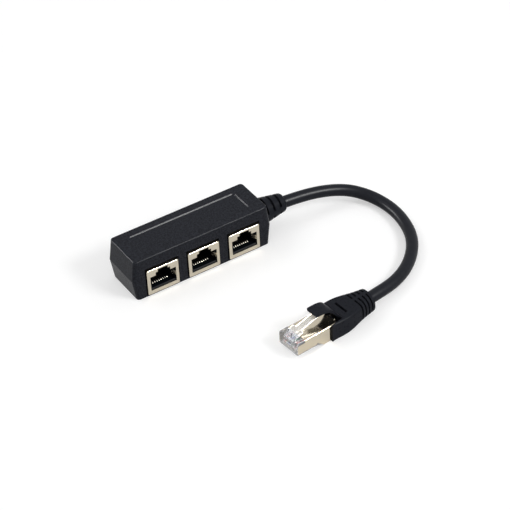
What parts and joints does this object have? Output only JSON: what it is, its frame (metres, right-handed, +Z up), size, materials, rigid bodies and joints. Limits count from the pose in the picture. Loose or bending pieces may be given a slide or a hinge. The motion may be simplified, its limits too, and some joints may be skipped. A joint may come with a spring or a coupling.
{
  "type": "rj45 splitter adapter",
  "caption": "Black moulded network splitter block with a row of shielded sockets and a short round lead that ends in a shielded plug with a booted latch.",
  "frame": {"origin": "middle of the block's underside, on the table", "axes": "+X along the block towards its lead, -Y out of the sockets, +Z up"},
  "size_m": [0.1273, 0.0928, 0.0206],
  "materials": {
    "black_shell": "fine spark texture",
    "black_jacket": "satin soft PVC",
    "black_insert": "satin",
    "jack_nickel": "nickel plate, satin",
    "plug_nickel": "nickel plate, bright",
    "gold": "gold flash",
    "clear_plastic": "clear polycarbonate",
    "board": "solder mask",
    "wire_mix": "insulation",
    "orange": "insulation",
    "green": "insulation",
    "blue": "insulation",
    "brown": "insulation"
  },
  "bodies": {
    "adapter": {"upper_shell": "black_shell", "lower_shell": "black_shell", "circuit_board": "board", "board_wires": "wire_mix", "strain_relief": "black_jacket", "cable": "black_jacket", "boot": "black_jacket", "plug_shell": "plug_nickel", "plug_body": "clear_plastic", "plug_contacts": "gold", "orange_wires": "orange", "green_wires": "green", "blue_wires": "blue", "brown_wires": "brown", "jack_left_shield": "jack_nickel", "jack_left_insert": "black_insert", "jack_left_contacts": "gold", "jack_middle_shield": "jack_nickel", "jack_middle_insert": "black_insert", "jack_middle_contacts": "gold", "jack_right_shield": "jack_nickel", "jack_right_insert": "black_insert", "jack_right_contacts": "gold"},
    "latch": {"plug_latch": "clear_plastic"},
    "flap": {"boot_flap": "black_jacket"}
  },
  "joints": [
    {"name": "latch_flex", "type": "hinge", "parent": "adapter", "child": "latch", "pos_m": [0.00135, -0.07583, 0.00755], "axis": [-0.0924, 0.9957, 0], "range_deg": [0, 11], "stiffness_Nm_per_rad": 0.02},
    {"name": "flap_flex", "type": "hinge", "parent": "adapter", "child": "flap", "pos_m": [0.02539, -0.0736, 0.0083], "axis": [-0.0924, 0.9957, 0], "range_deg": [-16, 0], "stiffness_Nm_per_rad": 0.02}
  ],
  "couplings": [
    {"joint": "latch_flex", "follows": "flap_flex", "ratio": -0.66}
  ]
}
